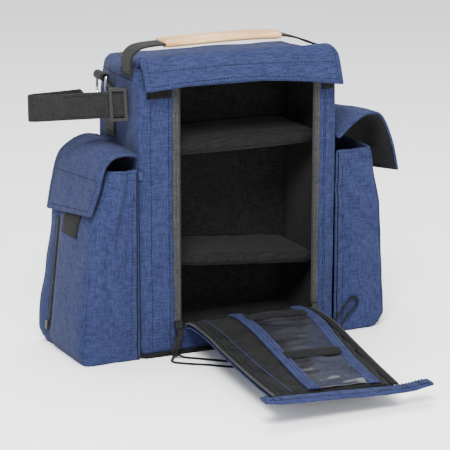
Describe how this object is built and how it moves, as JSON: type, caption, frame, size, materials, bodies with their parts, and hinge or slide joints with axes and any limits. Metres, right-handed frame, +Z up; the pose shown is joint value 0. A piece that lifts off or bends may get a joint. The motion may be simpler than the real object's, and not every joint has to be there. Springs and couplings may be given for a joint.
{
  "type": "soft camera shoulder bag",
  "caption": "Soft shoulder bag for a reflex camera: a padded box with a drop-down front door between zips, shelf dividers, flapped side pockets, a carrying handle and a strap on rings.",
  "frame": {"origin": "middle of the base, on the surface the bag stands on", "axes": "+Z up, the open front faces -Y, +X to the right seen from the front"},
  "size_m": [0.3777, 0.3413, 0.3171],
  "materials": {
    "blue_cloth": "melange weave, matt",
    "lining": "brushed loop cloth, matt",
    "base_cloth": "coated weave, matt",
    "webbing": "ribbed webbing, satin",
    "zip_tape": "fine weave, matt",
    "hook_loop": "hook and loop, matt",
    "vinyl": "clear soft sheet, glossy",
    "leather": "natural, satin",
    "metal": "plated wire, polished",
    "dark_metal": "dark plating, satin",
    "cord": "braided elastic, matt"
  },
  "bodies": {
    "bag": {"base_panel": "base_cloth", "back_panel": "blue_cloth", "left_side_panel": "blue_cloth", "right_side_panel": "blue_cloth", "top_panel": "blue_cloth", "front_left_strip": "blue_cloth", "front_right_strip": "blue_cloth", "front_kick_panel": "blue_cloth", "front_header": "blue_cloth", "back_liner": "lining", "left_liner": "lining", "right_liner": "lining", "base_liner": "lining", "top_liner": "lining", "left_zip_tape": "zip_tape", "right_zip_tape": "zip_tape", "front_loop_patches": "hook_loop", "handle_anchors": "webbing", "left_side_webbing": "webbing", "right_side_webbing": "webbing", "left_pocket_face": "blue_cloth", "left_pocket_front_gusset": "blue_cloth", "left_pocket_back_gusset": "blue_cloth", "left_pocket_base": "base_cloth", "right_pocket_face": "blue_cloth", "right_pocket_front_gusset": "blue_cloth", "right_pocket_back_gusset": "blue_cloth", "right_pocket_base": "base_cloth", "pocket_hook_patches": "hook_loop", "pocket_zip_tapes": "base_cloth"},
    "door": {"door_panel": "lining", "door_zip_tapes": "zip_tape", "door_hem": "blue_cloth", "door_windows": "vinyl", "window_bindings": "blue_cloth", "window_bands": "lining"},
    "hood": {"hood_panel": "blue_cloth", "hood_hook_strip": "hook_loop"},
    "left_flap": {"left_flap": "blue_cloth", "left_flap_patch": "hook_loop"},
    "right_flap": {"right_flap": "blue_cloth", "right_flap_patch": "hook_loop"},
    "handle": {"handle_webbing": "webbing", "handle_grip": "leather"},
    "left_slider": {"left_zip_slider": "dark_metal"},
    "right_slider": {"right_zip_slider": "dark_metal"},
    "left_pull": {"left_pull_tab": "webbing", "left_pull_cord": "cord"},
    "right_pull": {"right_pull_tab": "webbing", "right_pull_cord": "cord"},
    "left_pocket_slider": {"left_pocket_slider": "dark_metal"},
    "right_pocket_slider": {"right_pocket_slider": "dark_metal"},
    "left_ring": {"left_ring": "metal"},
    "right_ring": {"right_ring": "metal"},
    "strap": {"side_strap": "webbing"},
    "buckle": {"strap_buckle": "dark_metal"},
    "upper_divider": {"upper_divider": "lining"},
    "lower_divider": {"lower_divider": "lining"}
  },
  "joints": [
    {"name": "door_hinge", "type": "hinge", "parent": "bag", "child": "door", "pos_m": [0, -0.059, 0.028], "axis": [-1, 0, 0], "range_deg": [-3, 88.5]},
    {"name": "hood_hinge", "type": "hinge", "parent": "bag", "child": "hood", "pos_m": [0, -0.0495, 0.2945], "axis": [-1, 0, 0], "range_deg": [-18, 45]},
    {"name": "left_flap_hinge", "type": "hinge", "parent": "bag", "child": "left_flap", "pos_m": [-0.11, 0, 0.2075], "axis": [0, 1, 0], "range_deg": [0, 45]},
    {"name": "right_flap_hinge", "type": "hinge", "parent": "bag", "child": "right_flap", "pos_m": [0.11, 0, 0.2065], "axis": [0, -1, 0], "range_deg": [-10, 40]},
    {"name": "handle_hinge", "type": "hinge", "parent": "bag", "child": "handle", "pos_m": [0, -0.032, 0.2903], "axis": [-1, 0, 0], "range_deg": [0, 40], "deforming": ["handle_webbing"]},
    {"name": "left_zip_slide", "type": "slide", "parent": "bag", "child": "left_slider", "axis": [0, 0, 1], "range_m": [0, 0.19]},
    {"name": "right_zip_slide", "type": "slide", "parent": "bag", "child": "right_slider", "axis": [0, 0, 1], "range_m": [0, 0.19]},
    {"name": "left_pull_swing", "type": "hinge", "parent": "left_slider", "child": "left_pull", "pos_m": [-0.0674, -0.0626, 0.0255], "axis": [-1, 0, 0], "range_deg": [0, 120], "deforming": ["left_pull_cord"]},
    {"name": "right_pull_swing", "type": "hinge", "parent": "right_slider", "child": "right_pull", "pos_m": [0.0836, -0.0626, 0.0255], "axis": [-1, 0, 0], "range_deg": [0, 120], "deforming": ["right_pull_cord"]},
    {"name": "left_pocket_zip", "type": "slide", "parent": "bag", "child": "left_pocket_slider", "axis": [0.1149, 0, 0.9934], "range_m": [0, 0.105]},
    {"name": "right_pocket_zip", "type": "slide", "parent": "bag", "child": "right_pocket_slider", "axis": [-0.066, 0, 0.9978], "range_m": [0, 0.105]},
    {"name": "left_ring_swing", "type": "hinge", "parent": "bag", "child": "left_ring", "pos_m": [-0.1175, 0.015, 0.274], "axis": [0, 1, 0], "range_deg": [0, 75]},
    {"name": "right_ring_swing", "type": "hinge", "parent": "bag", "child": "right_ring", "pos_m": [0.1175, 0.015, 0.274], "axis": [0, -1, 0], "range_deg": [-8, 75]},
    {"name": "strap_swing", "type": "hinge", "parent": "left_ring", "child": "strap", "pos_m": [-0.1175, 0.015, 0.2498], "axis": [0, 0, 1], "range_deg": [-8, 0]},
    {"name": "buckle_slide", "type": "slide", "parent": "strap", "child": "buckle", "axis": [-0.9163, 0.3969, -0.0525], "range_m": [0, 0.05]},
    {"name": "upper_divider_shift", "type": "slide", "parent": "bag", "child": "upper_divider", "axis": [0, 0, 1], "range_m": [-0.04, 0.04]},
    {"name": "lower_divider_shift", "type": "slide", "parent": "bag", "child": "lower_divider", "axis": [0, 0, 1], "range_m": [-0.04, 0.04]}
  ]
}
